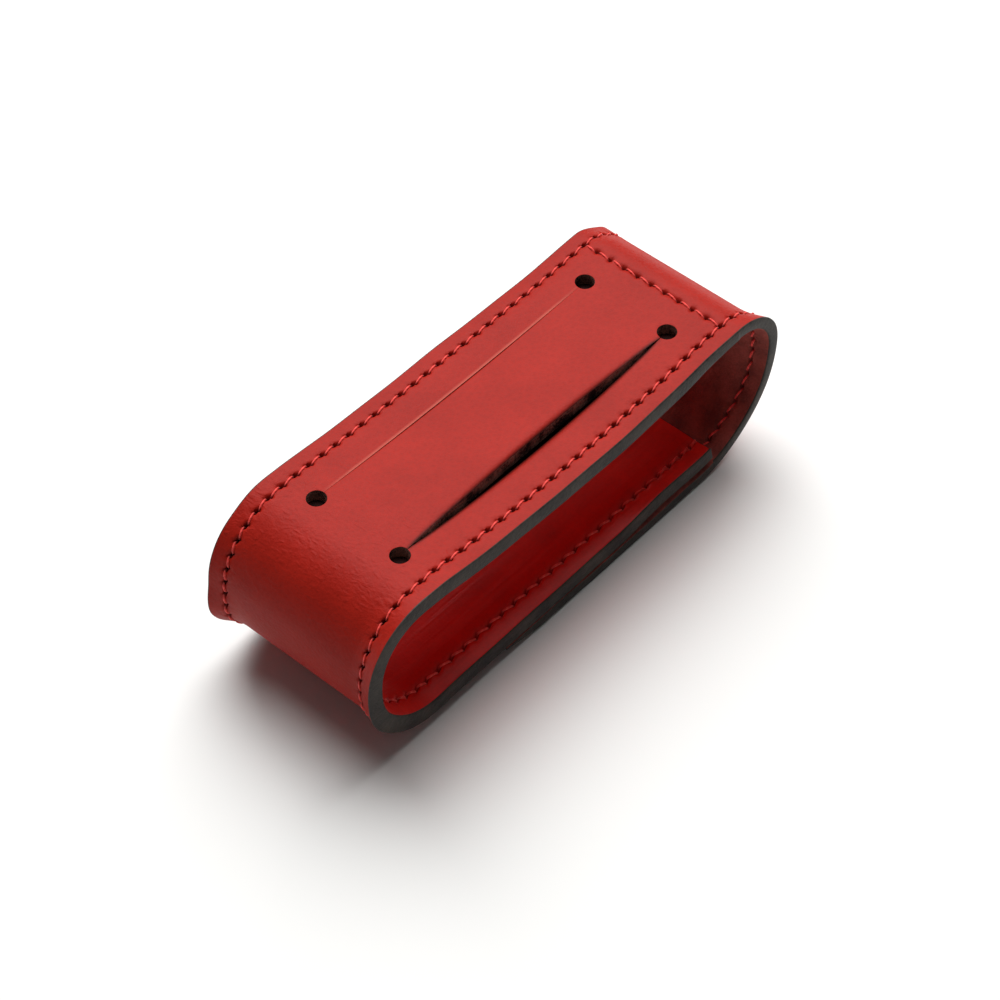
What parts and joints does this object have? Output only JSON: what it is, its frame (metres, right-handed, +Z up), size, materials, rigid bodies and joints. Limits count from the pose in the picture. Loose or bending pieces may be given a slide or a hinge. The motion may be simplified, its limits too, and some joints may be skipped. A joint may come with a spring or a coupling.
{
  "type": "belt sheath",
  "caption": "Open-sided leather belt sheath: a lined, stitched leather loop whose top has two slits, leaving a bridge that a belt passes under.",
  "frame": {"origin": "middle of the bounding box's bottom, on the resting face", "axes": "+X along the loop towards the toe bend where the tail starts under the bottom, +Y across the band from rim to rim, +Z up from the tail's flat underside to the belt bridge"},
  "size_m": [0.12, 0.042, 0.0384],
  "materials": {
    "red_leather": "smooth dyed grain, satin; bare brown-red flesh side and dark painted edges",
    "lining_leather": "smooth dyed grain, satin, grain side inwards",
    "thread": "bonded red polyester thread"
  },
  "bodies": {
    "root": {"outer_strip": "red_leather", "lining_strip": "lining_leather", "near_row_needle_thread": "thread", "near_row_bobbin_thread": "thread", "far_row_needle_thread": "thread", "far_row_bobbin_thread": "thread", "cross_row_needle_thread": "thread", "cross_row_bobbin_thread": "thread"}
  },
  "joints": []
}
